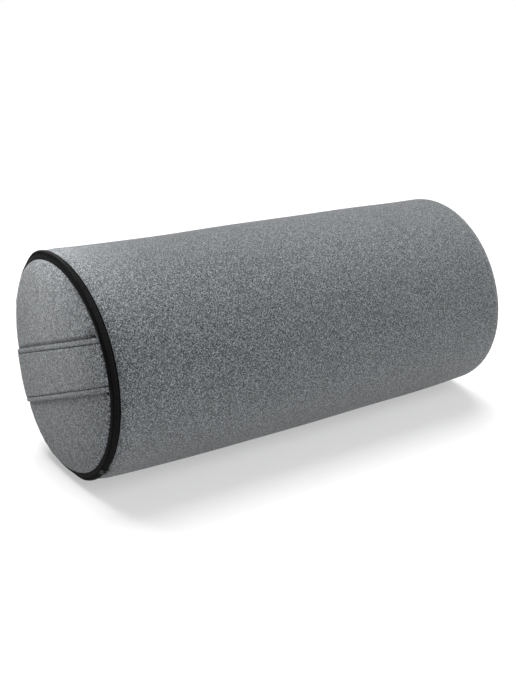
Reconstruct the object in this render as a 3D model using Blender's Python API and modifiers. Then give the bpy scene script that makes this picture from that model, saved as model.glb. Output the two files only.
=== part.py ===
"""A round yoga bolster lying on its side: a filled body, two domed end panels, a black zip
round one end and a carrying strap across that end.

The bolster lies along X with the zip end towards -X. Every piece is first made perfectly
round, then all of them are settled together, as the filling sags on a floor.
A station is a distance along the axis, counted from the seam at the zip end.
"""

import math

import bmesh
import bpy
from mathutils import Matrix, Vector

# Driving dimensions, in metres unless a name says otherwise
RADIUS = 0.140
SEAM_TO_SEAM = 0.608
DOME_HEIGHT = 0.0105
CLEARANCE = 0.00033

# Body panel: drawn in at both seams, with round shoulders
NEAR_SEAM_RADIUS = 0.1358
NEAR_SHOULDER = 0.0165
FAR_SEAM_RADIUS = 0.1302
FAR_SHOULDER = 0.0170
SHOULDER_POWER = 2.2
SHOULDER_STEPS = 5
BARREL = 0.0014
BODY_STEPS = 8

# End panels
PANEL_RIM_RADIUS = 0.1286
FAR_PANEL_RIM_RADIUS = 0.1292
DOME_POWER = 2.05
DOME_STEPS = 9

# Zip: the tape bulges over the edge of the near end and the coil stands on its crest
TAPE_WIDTH = 0.0098
TAPE_INNER_RADIUS = 0.1290
TAPE_OUTER_RADIUS = 0.1350
TAPE_BULGE = 0.0054
TAPE_ROOT_RADIUS = 0.1200
TAPE_STEPS = 12
COIL_WIDTH = 0.0050
COIL_HEIGHT = 0.0015
COIL_EDGE = 0.0005
COIL_STEPS = 6
COIL_TILT_DEG = 15.0

# Zip slider: a channel over the coil, with a low crown on its back
SLIDER_ANGLE_DEG = 223.0
SLIDER_LENGTH = 0.0110
SLIDER_WIDTH = 0.0080
SLIDER_WALL = 0.0011
SLIDER_BEVEL = 0.0002
SLIDER_FOOT = 0.0006
CROWN_LENGTH = 0.0056
CROWN_WIDTH = 0.0022
CROWN_HEIGHT = 0.0014
CROWN_SINK = 0.0005
CROWN_BEVEL = 0.0005

# Carrying strap: doubled cloth, slack in its front half, wider at the back end
STRAP_WIDTH = 0.0632
STRAP_WIDENING = 0.082
STRAP_THICKNESS = 0.0020
STRAP_GAP = 0.0005
STRAP_SLACK = 0.0014
STRAP_END_ANGLE_DEG = 84.0
STRAP_TILT_DEG = -20.0
STRAP_STEPS = 30
STRAP_CROSS_STEPS = 4
STRAP_EDGE_BEVEL = 0.0006

# How the filled bolster settles on a floor, as shares of the radius. Its zip end is a little
# fuller, leans back and is slightly three-cornered, and the strap pulls it in behind. The
# bottom edge of both ends lifts.
HEIGHT_SHARE = 0.987
FLAT_SHARE = 0.024
NEAR_REACH = 1.374
NEAR_SWELL_SHARE = 0.029
NEAR_LEAN_SHARE = 0.023
NEAR_CORNER_SHARE = 0.024
NEAR_CORNERS = 3
NEAR_CORNER_ANGLE_DEG = 44.0
NEAR_PULL_SHARE = 0.030
NEAR_PULL_ANGLE_DEG = -10.0
NEAR_PULL_POWER = 8
NEAR_LIFT_SHARE = 0.066
NEAR_LIFT_POWER = 6
FAR_REACH = 1.0
FAR_LIFT_SHARE = 0.026
FAR_LIFT_POWER = 2.5

# The far end panel sits a few degrees out of square: the roll is longer behind and below
FAR_SKEW_BACK = 0.08
FAR_SKEW_DOWN = 0.075
FAR_SKEW_START = 0.6

TURN_STEPS = 64
ROUND_SEGMENTS = 2
MERGE = 0.00001
SHARP_ANGLE_DEG = 40.0

CLOTH_GREY = (0.165, 0.178, 0.186, 1.0)
CLOTH_ROUGHNESS = 0.92
ZIP_BLACK = (0.010, 0.010, 0.011, 1.0)
TAPE_ROUGHNESS = 0.80
COIL_ROUGHNESS = 0.45
SLIDER_GREY = (0.045, 0.047, 0.048, 1.0)
SLIDER_ROUGHNESS = 0.40


def clear_scene():
    """Removes whatever objects the scene holds."""
    for old in list(bpy.data.objects):
        bpy.data.objects.remove(old, do_unlink=True)


def link(obj):
    """Puts a new object in the scene's own collection while it is being made."""
    bpy.context.scene.collection.objects.link(obj)
    return obj


def as_mesh(guide, name):
    """Replaces an object by a plain welded mesh of its evaluated shape."""
    bpy.context.view_layer.update()
    evaluated = guide.evaluated_get(bpy.context.evaluated_depsgraph_get())
    mesh = bpy.data.meshes.new_from_object(evaluated)
    mesh.transform(guide.matrix_world)
    bpy.data.objects.remove(guide, do_unlink=True)
    work = bmesh.new()
    work.from_mesh(mesh)
    bmesh.ops.remove_doubles(work, verts=work.verts, dist=MERGE)
    work.to_mesh(mesh)
    work.free()
    mesh.name = name
    return link(bpy.data.objects.new(name, mesh))


def quarter_round(steps, power):
    """Pairs (across, along) round a superellipse quarter, from (0, 1) to (1, 0)."""
    pairs = []
    for i in range(steps + 1):
        angle = math.pi / 2 * i / steps
        across = math.sin(angle) ** (2 / power)
        along = max(math.cos(angle), 0.0) ** (2 / power)
        pairs.append((across, along))
    return pairs


def turned(name, profile, closed=False):
    """Turns (station, radius) points, zip end first, about the axis into a solid along X."""
    points = [(radius, 0.0, -station) for station, radius in profile]
    edges = [(i, i + 1) for i in range(len(points) - 1)]
    if closed:
        edges.append((len(points) - 1, 0))
    mesh = bpy.data.meshes.new(name)
    mesh.from_pydata(points, edges, [])
    guide = link(bpy.data.objects.new(name, mesh))
    screw = guide.modifiers.new("turn", "SCREW")
    screw.steps = TURN_STEPS
    screw.render_steps = TURN_STEPS
    screw.use_merge_vertices = True
    screw.merge_threshold = MERGE
    guide.rotation_euler.y = math.radians(-90)
    return as_mesh(guide, name)


def body_radius(station):
    """Radius of the body panel between its shoulders, fullest at the middle."""
    offset = 2 * station / SEAM_TO_SEAM - 1
    return RADIUS + BARREL * (1 - offset * offset)


def make_filled_body():
    """The tube of cloth with its filling, and a neck of filling inside the zip ring."""
    start = TAPE_WIDTH + CLEARANCE
    neck = TAPE_ROOT_RADIUS - CLEARANCE
    profile = [(CLEARANCE, 0.0), (CLEARANCE, neck), (start, neck)]
    for across, along in quarter_round(SHOULDER_STEPS, SHOULDER_POWER):
        station = start + NEAR_SHOULDER * (1 - along)
        rise = body_radius(station) - NEAR_SEAM_RADIUS
        profile.append((station, NEAR_SEAM_RADIUS + rise * across))
    first = start + NEAR_SHOULDER
    last = SEAM_TO_SEAM - FAR_SHOULDER
    for i in range(1, BODY_STEPS):
        station = first + (last - first) * i / BODY_STEPS
        profile.append((station, body_radius(station)))
    for across, along in quarter_round(SHOULDER_STEPS, SHOULDER_POWER):
        station = last + FAR_SHOULDER * across
        rise = body_radius(station) - FAR_SEAM_RADIUS
        profile.append((station, FAR_SEAM_RADIUS + rise * along))
    profile.append((SEAM_TO_SEAM, 0.0))
    return turned("filled_body", profile)


def make_end_panels():
    """The two round end panels, each one domed by the filling behind it."""
    near = []
    far = [(SEAM_TO_SEAM + CLEARANCE, 0.0)]
    for across, along in quarter_round(DOME_STEPS, DOME_POWER):
        near.append((-DOME_HEIGHT * along, PANEL_RIM_RADIUS * across))
    for across, along in reversed(quarter_round(DOME_STEPS, DOME_POWER)):
        station = SEAM_TO_SEAM + CLEARANCE + DOME_HEIGHT * along
        far.append((station, FAR_PANEL_RIM_RADIUS * across))
    near.append((0.0, 0.0))
    return turned("zip_end_panel", near), turned("plain_end_panel", far)


class TapeArc:
    """The tape's bulging outer face in section: an arc through its two long edges."""

    def __init__(self):
        inner = Vector((CLEARANCE, TAPE_INNER_RADIUS))
        outer = Vector((TAPE_WIDTH, TAPE_OUTER_RADIUS))
        chord = outer - inner
        half = chord.length / 2
        self.radius = (half * half + TAPE_BULGE * TAPE_BULGE) / (2 * TAPE_BULGE)
        self.across = chord.normalized()
        self.out = Vector((-self.across.y, self.across.x))
        self.centre = (inner + outer) / 2 - self.out * (self.radius - TAPE_BULGE)
        self.half_angle = math.asin(half / self.radius)

    def point(self, angle, lift):
        """(station, radius) at an angle from the arc's middle, that far above the tape."""
        away = self.out * math.cos(angle) + self.across * math.sin(angle)
        return tuple(self.centre + away * (self.radius + lift))

    def angle_of(self, width, lift):
        """Half the angle that a strip of this width takes at that height."""
        return width / 2 / (self.radius + lift)


def spread(limit, steps):
    """Evenly spaced angles from -limit to limit."""
    return [limit * (2 * i / steps - 1) for i in range(steps + 1)]


def coil_lift(angle, limit):
    """Height of the coil's top above the tape, rounded across its width."""
    share = math.sqrt(max(1 - (angle / limit) ** 2, 0.0))
    return CLEARANCE + COIL_EDGE + (COIL_HEIGHT - COIL_EDGE) * share


def make_zip(arc):
    """The tape ring, sewn in between body and end panel, and the ridge of closed coil."""
    tape = [arc.point(angle, 0.0) for angle in spread(arc.half_angle, TAPE_STEPS)]
    tape.append((TAPE_WIDTH, TAPE_ROOT_RADIUS))
    tape.append((CLEARANCE, TAPE_ROOT_RADIUS))
    limit = arc.angle_of(COIL_WIDTH, CLEARANCE)
    angles = spread(limit, COIL_STEPS)
    tilt = math.radians(COIL_TILT_DEG)
    coil = [arc.point(tilt + angle, coil_lift(angle, limit)) for angle in angles]
    coil += [arc.point(tilt + angle, CLEARANCE) for angle in reversed(angles)]
    return turned("zip_tape", tape, closed=True), turned("zip_coil", coil, closed=True)


def make_zip_slider(arc):
    """The slider: a C-shaped channel over the coil, with a low crown on its back."""
    coil_limit = arc.angle_of(COIL_WIDTH, CLEARANCE)
    inside = coil_limit + CLEARANCE / arc.radius
    outside = arc.angle_of(SLIDER_WIDTH, COIL_HEIGHT)
    top = COIL_HEIGHT + SLIDER_FOOT + SLIDER_WALL
    section = [(angle, top) for angle in spread(outside, COIL_STEPS)]
    section += [(outside, SLIDER_FOOT), (inside, SLIDER_FOOT)]
    for angle in reversed(spread(inside, COIL_STEPS)):
        section.append((angle, coil_lift(angle, inside) + CLEARANCE))
    section += [(-inside, SLIDER_FOOT), (-outside, SLIDER_FOOT)]

    curve = bpy.data.curves.new("zip_slider", "CURVE")
    curve.dimensions = "2D"
    curve.fill_mode = "BOTH"
    curve.extrude = SLIDER_LENGTH / 2
    spline = curve.splines.new("POLY")
    spline.points.add(len(section) - 1)
    spline.use_cyclic_u = True
    for knot, (angle, lift) in zip(spline.points, section):
        reach = arc.radius + lift
        knot.co = (reach * math.sin(angle), reach * math.cos(angle), 0.0, 1.0)
    slider = as_mesh(link(bpy.data.objects.new("zip_slider", curve)), "zip_slider")

    crown = box("crown", (CROWN_WIDTH, CROWN_HEIGHT + CROWN_SINK, CROWN_LENGTH))
    middle = arc.radius + top + (CROWN_HEIGHT - CROWN_SINK) / 2
    crown.data.transform(Matrix.Translation((0.0, middle, 0.0)))
    add_bevel(crown, CROWN_BEVEL, ROUND_SEGMENTS)
    crown = as_mesh(crown, "crown")
    cutters.objects.link(crown)
    bpy.context.scene.collection.objects.unlink(crown)
    crown.hide_render = True
    crown.display_type = "WIRE"
    add_bevel(slider, SLIDER_BEVEL, 1)
    join = slider.modifiers.new("crown", "BOOLEAN")
    join.operation = "UNION"
    join.solver = "EXACT"
    join.object = crown

    lean = Matrix.Rotation(-math.radians(COIL_TILT_DEG), 2)
    out, across = lean @ arc.out, lean @ arc.across
    place = Matrix.Translation((arc.centre.x, 0.0, arc.centre.y)) @ Matrix(
        (
            (across.x, out.x, 0.0, 0.0),
            (0.0, 0.0, -1.0, 0.0),
            (across.y, out.y, 0.0, 0.0),
            (0.0, 0.0, 0.0, 1.0),
        )
    )
    slider = as_mesh(slider, "zip_slider")
    slider.data.transform(place)
    turn = Matrix.Rotation(math.radians(SLIDER_ANGLE_DEG - 90), 4, "X")
    slider.data.transform(turn)
    return slider


def box(name, size):
    """A box of this size about the origin."""
    mesh = bpy.data.meshes.new(name)
    work = bmesh.new()
    bmesh.ops.create_cube(work, size=1.0)
    bmesh.ops.scale(work, vec=size, verts=work.verts)
    work.to_mesh(mesh)
    work.free()
    return link(bpy.data.objects.new(name, mesh))


def add_bevel(obj, width, segments):
    """Rounds an object's edges."""
    bevel = obj.modifiers.new("edges", "BEVEL")
    bevel.width = width
    bevel.segments = segments
    bevel.limit_method = "ANGLE"
    bevel.angle_limit = math.radians(SHARP_ANGLE_DEG)


def strap_point(angle, height):
    """A point of the strap's underside, at an angle along the strap and a height across it."""
    reach = math.sqrt(PANEL_RIM_RADIUS ** 2 - height ** 2)
    base = Vector((-DOME_HEIGHT * math.cos(angle), reach * math.sin(angle)))
    out = Vector((-reach * math.cos(angle), DOME_HEIGHT * math.sin(angle))).normalized()
    share = math.sin(2 * angle) ** 2 if angle < 0 else 0.0
    spot = base + out * (STRAP_GAP + STRAP_SLACK * share)
    return Vector((spot.x, spot.y, height))


def make_carry_strap():
    """The flat strap over the near end panel, from seam to seam."""
    mesh = bpy.data.meshes.new("carry_strap")
    work = bmesh.new()
    bmesh.ops.create_grid(
        work, x_segments=STRAP_STEPS, y_segments=STRAP_CROSS_STEPS, size=1.0
    )
    limit = math.radians(STRAP_END_ANGLE_DEG)
    for vert in work.verts:
        angle = vert.co.x * limit
        half_width = STRAP_WIDTH / 2 * (1 + STRAP_WIDENING * math.sin(angle))
        vert.co = strap_point(angle, vert.co.y * half_width)
    work.normal_update()
    work.faces.ensure_lookup_table()
    if work.faces[0].normal.x > 0:
        bmesh.ops.reverse_faces(work, faces=work.faces)
    tilt = Matrix.Rotation(math.radians(STRAP_TILT_DEG), 3, "X")
    bmesh.ops.rotate(work, verts=work.verts, cent=(0.0, 0.0, 0.0), matrix=tilt)
    work.to_mesh(mesh)
    work.free()
    guide = link(bpy.data.objects.new("carry_strap", mesh))
    cloth = guide.modifiers.new("cloth", "SOLIDIFY")
    cloth.thickness = STRAP_THICKNESS
    cloth.offset = 1.0
    cloth.use_even_offset = True
    add_bevel(guide, STRAP_EDGE_BEVEL, ROUND_SEGMENTS)
    return as_mesh(guide, "carry_strap")


def clamp(value):
    """The value kept between 0 and 1."""
    return min(max(value, 0.0), 1.0)


def near_form(angle, radius):
    """Share by which a radius grows at the zip end. The panel's middle only swells."""
    turn = angle - math.radians(NEAR_CORNER_ANGLE_DEG)
    corners = NEAR_CORNER_SHARE * math.cos(NEAR_CORNERS * turn)
    lean = NEAR_LEAN_SHARE * math.cos(angle)
    from_strap = angle - math.radians(NEAR_PULL_ANGLE_DEG)
    pull = NEAR_PULL_SHARE * max(math.cos(from_strap), 0.0) ** NEAR_PULL_POWER
    lift = NEAR_LIFT_SHARE * max(-math.sin(angle), 0.0) ** NEAR_LIFT_POWER
    at_rim = clamp(radius / PANEL_RIM_RADIUS) ** 2
    return NEAR_SWELL_SHARE + at_rim * (lean + corners - pull - lift)


def settle(mesh):
    """Sags a piece's points as the whole filled roll sags on a floor."""
    floor = -(1 - FLAT_SHARE) * RADIUS
    skew_from = FAR_SKEW_START * SEAM_TO_SEAM
    for vert in mesh.vertices:
        station, y, z = vert.co
        angle = math.atan2(z, y)
        near = clamp(1 - max(station, 0.0) / (NEAR_REACH * RADIUS)) ** 2
        far = clamp(1 - (SEAM_TO_SEAM - station) / (FAR_REACH * RADIUS)) ** 2
        far_lift = FAR_LIFT_SHARE * max(-math.sin(angle), 0.0) ** FAR_LIFT_POWER
        drawn = 1 + near * near_form(angle, math.hypot(y, z)) - far * far_lift
        y = y * drawn
        z = max(z * drawn, floor)
        skew = clamp((station - skew_from) / (SEAM_TO_SEAM - skew_from)) ** 2
        station += skew * (FAR_SKEW_BACK * y - FAR_SKEW_DOWN * z)
        vert.co = (station, y, z * HEIGHT_SHARE)


def stand_on_origin(pieces):
    """Moves all the pieces so that the roll's bottom centre is the origin."""
    points = [vert.co for obj in pieces for vert in obj.data.vertices]
    low = Vector([min(p[i] for p in points) for i in range(3)])
    high = Vector([max(p[i] for p in points) for i in range(3)])
    middle = (low + high) / 2
    shift = Matrix.Translation((-middle.x, -middle.y, -low.z))
    for obj in pieces:
        obj.data.transform(shift)


def finish(obj, colour, roughness):
    """Gives a piece its own Principled material and smooth shading."""
    material = bpy.data.materials.new(obj.name)
    material.use_nodes = True
    shader = material.node_tree.nodes["Principled BSDF"]
    shader.inputs["Base Color"].default_value = colour
    shader.inputs["Roughness"].default_value = roughness
    shader.inputs["Metallic"].default_value = 0.0
    material.diffuse_color = colour
    obj.data.materials.append(material)
    obj.data.shade_smooth()
    obj.data.set_sharp_from_angle(angle=math.radians(SHARP_ANGLE_DEG))


clear_scene()
bolster = bpy.data.collections.new("yoga_bolster")
cutters = bpy.data.collections.new("cutters")
bpy.context.scene.collection.children.link(bolster)
bpy.context.scene.collection.children.link(cutters)

tape_arc = TapeArc()
filled_body = make_filled_body()
zip_end_panel, plain_end_panel = make_end_panels()
zip_tape, zip_coil = make_zip(tape_arc)
zip_slider = make_zip_slider(tape_arc)
carry_strap = make_carry_strap()

finish(filled_body, CLOTH_GREY, CLOTH_ROUGHNESS)
finish(zip_end_panel, CLOTH_GREY, CLOTH_ROUGHNESS)
finish(plain_end_panel, CLOTH_GREY, CLOTH_ROUGHNESS)
finish(carry_strap, CLOTH_GREY, CLOTH_ROUGHNESS)
finish(zip_tape, ZIP_BLACK, TAPE_ROUGHNESS)
finish(zip_coil, ZIP_BLACK, COIL_ROUGHNESS)
finish(zip_slider, SLIDER_GREY, SLIDER_ROUGHNESS)

all_pieces = [
    filled_body,
    zip_end_panel,
    plain_end_panel,
    zip_tape,
    zip_coil,
    zip_slider,
    carry_strap,
]
for piece in all_pieces:
    settle(piece.data)
stand_on_origin(all_pieces)

stand = bpy.data.objects.new("bolster_origin", None)
bolster.objects.link(stand)
for piece in all_pieces:
    bpy.context.scene.collection.objects.unlink(piece)
    bolster.objects.link(piece)
    piece.parent = stand
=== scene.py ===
"""A round yoga bolster in grey melange cloth, lying on its side, with a black zip round one end.

It is dressed over its plain solids: the frame gives each piece's place, and every piece here
replaces its solid. A station is a distance along the roll from the seam at the zip end, and an
angle is measured round the roll's axis from the back (0) over the top (90 degrees).
"""

import math

import bmesh
import bpy
import numpy as np
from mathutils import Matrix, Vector, noise


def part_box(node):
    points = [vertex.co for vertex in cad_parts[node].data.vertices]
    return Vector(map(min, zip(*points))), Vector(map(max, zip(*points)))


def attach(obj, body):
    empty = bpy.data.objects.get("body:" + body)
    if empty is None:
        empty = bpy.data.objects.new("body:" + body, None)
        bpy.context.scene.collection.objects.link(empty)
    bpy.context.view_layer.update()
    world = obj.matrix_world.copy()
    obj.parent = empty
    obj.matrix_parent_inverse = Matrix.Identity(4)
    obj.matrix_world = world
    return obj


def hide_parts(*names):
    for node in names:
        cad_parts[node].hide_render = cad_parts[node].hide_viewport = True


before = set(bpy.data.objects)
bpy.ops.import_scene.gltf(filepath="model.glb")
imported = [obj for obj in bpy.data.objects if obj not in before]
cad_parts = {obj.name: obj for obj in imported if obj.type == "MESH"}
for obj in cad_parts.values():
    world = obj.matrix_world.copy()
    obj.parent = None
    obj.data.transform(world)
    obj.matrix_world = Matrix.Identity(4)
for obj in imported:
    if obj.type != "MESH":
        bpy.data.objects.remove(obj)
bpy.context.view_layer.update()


# The filled body: one length of cloth rolled into a tube, stuffed firm and drawn in at both ends.
# Its long edges meet in a plain seam low at the back. At the zip end the cloth is folded under,
# and the fold lies on the edge of the zip tape.
RADIUS = 0.140
SEAM_TO_SEAM = 0.608
CLEARANCE = 0.00033
START_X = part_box("filled_body")[0].x - CLEARANCE
AXIS_Y = (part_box("plain_end_panel")[0].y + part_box("plain_end_panel")[1].y) / 2
HEIGHT_SHARE = 0.987
FLAT_SHARE = 0.024
FLOOR = -(1 - FLAT_SHARE) * RADIUS
AXIS_HEIGHT = -FLOOR * HEIGHT_SHARE
NEAR_RIM_RADIUS = 0.1286
NEAR_REACH = 1.374 * RADIUS
NEAR_SWELL = 0.029
NEAR_LEAN = 0.023
NEAR_CORNER = 0.024
NEAR_CORNERS = 3
NEAR_CORNER_ANGLE = math.radians(44)
NEAR_PULL, NEAR_PULL_ANGLE, NEAR_PULL_POWER = 0.030, math.radians(-10), 8
NEAR_LIFT, NEAR_LIFT_POWER = 0.066, 6
FAR_REACH = 1.0 * RADIUS
FAR_LIFT, FAR_LIFT_POWER = 0.026, 2.5
SKEW_BACK, SKEW_DOWN, SKEW_FROM = 0.08, 0.075, 0.6 * SEAM_TO_SEAM

BODY_START = 0.0098 + CLEARANCE
NEAR_SEAM_RADIUS = 0.1358
NEAR_SHOULDER = 0.0165
FAR_SEAM_RADIUS = 0.1302
FAR_SHOULDER = 0.0170
SHOULDER_POWER = 2.2
SHOULDER_STEPS = 14
BARREL = 0.0014
BODY_STEPS = 130
BODY_TURN_STEPS = 336
FOLD_OVERLAP = 0.0012
FOLD_THICKNESS = 0.0016
FOLD_RISE = 0.0004
NEAR_TUCK = ((0.0004, 0.1180), (0.0, 0.1330))
FAR_TUCK = ((0.0002, FAR_SEAM_RADIUS - 0.0010), (0.0016, 0.1270))
BACK_SEAM_ANGLE = math.radians(-48)
BACK_SEAM_DEPTH = 0.0013
BACK_SEAM_HALF_WIDTH = 0.0011
BACK_SEAM_ZONE = 0.0066
BACK_SEAM_ENDS = 0.004
SEAM_RIDGE, SEAM_RIDGE_PLACE, SEAM_RIDGE_HALF_WIDTH = 0.0003, 0.0035, 0.0022
SNAG_HEIGHT, SNAG_SIZE, SNAG_REACH = 0.00035, 0.0060, 0.006
LUMP_HEIGHT = 0.0009
LUMP_SIZE = 0.110
LUMP_FADE = 0.030
LUMP_AT_SEAM = 0.15
FILLING_PRESSURE = 4.0
FILLING_CAP = 0.0012
CLOTH_EASE = 0.03
CLOTH_FRAMES = 20
COARSE_STEPS, COARSE_TURN_STEPS = 72, 120
SMOOTH_FADE = 0.024
SMOOTH_FROM_SEAM = 0.4 * SMOOTH_FADE
PUCKER_HEIGHT = 0.00042
PUCKER_SIZE = 0.0075
PUCKER_REACH = 0.0110
PUCKER_RISE = 0.0015
PUCKER_AT_SEAM = 0.25
FAR_PUCKER_SHARE = 0.8


def settled(station, y, z):
    """World points of arrays of places on the roll, sagged as the roll lies on a floor. The zip
    end is a little fuller, leans back and is slightly three-cornered."""
    angle = np.arctan2(z, y)
    down = np.maximum(-np.sin(angle), 0.0)
    near = np.clip(1 - np.maximum(station, 0.0) / NEAR_REACH, 0.0, 1.0) ** 2
    far = np.clip(1 - (SEAM_TO_SEAM - station) / FAR_REACH, 0.0, 1.0) ** 2
    rim_form = NEAR_LEAN * np.cos(angle) - NEAR_LIFT * down**NEAR_LIFT_POWER
    rim_form += NEAR_CORNER * np.cos(NEAR_CORNERS * (angle - NEAR_CORNER_ANGLE))
    rim_form -= NEAR_PULL * np.maximum(np.cos(angle - NEAR_PULL_ANGLE), 0.0) ** NEAR_PULL_POWER
    rim_share = np.minimum(np.hypot(y, z) / NEAR_RIM_RADIUS, 1.0) ** 2
    drawn = 1 + near * (NEAR_SWELL + rim_share * rim_form) - far * FAR_LIFT * down**FAR_LIFT_POWER
    y = y * drawn
    z = np.maximum(z * drawn, FLOOR)
    skew = np.clip((station - SKEW_FROM) / (SEAM_TO_SEAM - SKEW_FROM), 0.0, 1.0) ** 2
    x = START_X + station + skew * (SKEW_BACK * y - SKEW_DOWN * z)
    return np.stack([x, y + AXIS_Y, z * HEIGHT_SHARE + AXIS_HEIGHT], axis=-1)


def quarter_round(steps, power):
    """Pairs (across, along) round a superellipse quarter, from (0, 1) to (1, 0)."""
    turn = np.linspace(0.0, math.pi / 2, steps + 1)
    across = np.sin(turn) ** (2 / power)
    along = np.maximum(np.cos(turn), 0.0) ** (2 / power)
    return np.stack([across, along], axis=-1)


def rough(points, size, seed):
    """Smooth noise, about -1 to 1, with lumps of this size at each of many points."""
    flat = points.reshape(-1, 3) / size + seed
    values = [noise.noise(Vector(p)) for p in flat.tolist()]
    return np.array(values).reshape(points.shape[:-1])


def skin(name, rings, section_closed=False):
    """A closed skin over rings of points. Its ends close on each other, or in a pole each."""
    count, around = rings.shape[:2]
    points = rings.reshape(-1, 3).tolist()
    index = np.arange(count * around).reshape(count, around)
    if section_closed:
        index = np.vstack([index, index[:1]])
    beside = np.roll(index, -1, axis=1)
    faces = np.stack([index[:-1], beside[:-1], beside[1:], index[1:]], axis=-1)
    faces = faces.reshape(-1, 4).tolist()
    if not section_closed:
        for ring in (0, -1):
            pole = len(points)
            points.append(rings[ring].mean(axis=0).tolist())
            faces += [[a, b, pole] for a, b in zip(index[ring].tolist(), beside[ring].tolist())]
    mesh = bpy.data.meshes.new(name)
    mesh.from_pydata(points, [], faces)
    work = bmesh.new()
    work.from_mesh(mesh)
    bmesh.ops.recalc_face_normals(work, faces=work.faces)
    work.to_mesh(mesh)
    work.free()
    mesh.shade_smooth()
    piece = bpy.data.objects.new(name, mesh)
    bpy.context.scene.collection.objects.link(piece)
    return piece


def pressed_out(rings, last_is_sewn=True):
    """A coarse grid of rings after the filling has pressed the cloth out, by cloth simulation. The
    cloth is cut a little too large, and its first ring, and mostly its last, is sewn down."""
    piece = skin("cloth over filling", rings)
    around = rings.shape[1]
    count = rings.shape[0] * around
    sewn = list(range(around)) + [count]
    if last_is_sewn:
        sewn += list(range(count - around, count)) + [count + 1]
    piece.vertex_groups.new(name="sewn down").add(sewn, 1.0, "REPLACE")
    cloth = piece.modifiers.new("filling", "CLOTH").settings
    cloth.quality = 5
    cloth.vertex_group_mass = "sewn down"
    cloth.use_pressure = True
    cloth.uniform_pressure_force = FILLING_PRESSURE
    cloth.effector_weights.gravity = 0.0
    cloth.bending_stiffness = 3.0
    cloth.shrink_min = -CLOTH_EASE
    for moment in range(1, CLOTH_FRAMES + 1):
        bpy.context.scene.frame_set(moment)
    puffed = piece.evaluated_get(bpy.context.evaluated_depsgraph_get())
    places = np.empty(3 * (count + 2))
    puffed.to_mesh().vertices.foreach_get("co", places)
    puffed.to_mesh_clear()
    bpy.data.meshes.remove(piece.data)
    bpy.context.scene.frame_set(1)
    return places.reshape(-1, 3)[:count].reshape(rings.shape)


def spread_over(field, row, angle):
    """A coarse field over rings, read smoothly at finer places. A row is a place along the rings."""
    column = angle / (2 * math.pi) * field.shape[1]
    total = np.zeros_like(row)
    for row_step, row_share in cubic_shares(row):
        for column_step, column_share in cubic_shares(column):
            rows = np.clip(row_step, 0, field.shape[0] - 1)
            total += field[rows, column_step % field.shape[1]] * row_share * column_share
    return total


def cubic_shares(place):
    """(index, share) of the four steps round each place, for a smooth curve through a row."""
    first = np.floor(place).astype(int)
    t = place - first
    shares = ((1 - t) ** 3, 3 * t**3 - 6 * t**2 + 4, -3 * t**3 + 3 * t**2 + 3 * t + 1, t**3)
    return [(first + step, share / 6) for step, share in zip((-1, 0, 1, 2), shares)]


def body_radius(station):
    """Radius of the body between its shoulders, fullest at the middle."""
    offset = 2 * station / SEAM_TO_SEAM - 1
    return RADIUS + BARREL * (1 - offset * offset)


def body_profile():
    """(station, radius) from the folded edge at the zip end to the far seam."""
    profile = [(BODY_START + inside, radius) for inside, radius in NEAR_TUCK]
    fold_middle = NEAR_SEAM_RADIUS + FOLD_RISE
    for turn in np.linspace(-1.1, 0.9, 7):
        reach = FOLD_OVERLAP * math.cos(turn)
        profile.append((BODY_START - reach, fold_middle + FOLD_THICKNESS / 2 * math.sin(turn)))
    for across, along in quarter_round(SHOULDER_STEPS, SHOULDER_POWER)[2:]:
        station = BODY_START + NEAR_SHOULDER * (1 - along)
        profile.append((station, NEAR_SEAM_RADIUS + (body_radius(station) - NEAR_SEAM_RADIUS) * across))
    first = BODY_START + NEAR_SHOULDER
    last = SEAM_TO_SEAM - FAR_SHOULDER
    for share in np.linspace(0.0, 1.0, BODY_STEPS + 1)[1:-1]:
        station = first + (last - first) * share
        profile.append((station, body_radius(station)))
    for across, along in quarter_round(SHOULDER_STEPS, SHOULDER_POWER):
        station = last + FAR_SHOULDER * across
        profile.append((station, FAR_SEAM_RADIUS + (body_radius(station) - FAR_SEAM_RADIUS) * along))
    profile += [(SEAM_TO_SEAM - inside, radius) for inside, radius in FAR_TUCK]
    return np.array(profile)


def body_angles():
    """Angles round the body, with extra ones beside the back seam."""
    even = np.linspace(0.0, 2 * math.pi, BODY_TURN_STEPS, endpoint=False)
    beside = np.array([-6.0, -4.5, -3.2, -2.2, -1.4, -0.7, 0.0, 0.7, 1.4, 2.2, 3.2, 4.5, 6.0]) / 1000
    seam = (BACK_SEAM_ANGLE + beside / RADIUS) % (2 * math.pi)
    away = np.abs((even - BACK_SEAM_ANGLE + math.pi) % (2 * math.pi) - math.pi) * RADIUS
    return np.sort(np.concatenate([even[away > BACK_SEAM_ZONE], seam]))


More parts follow.
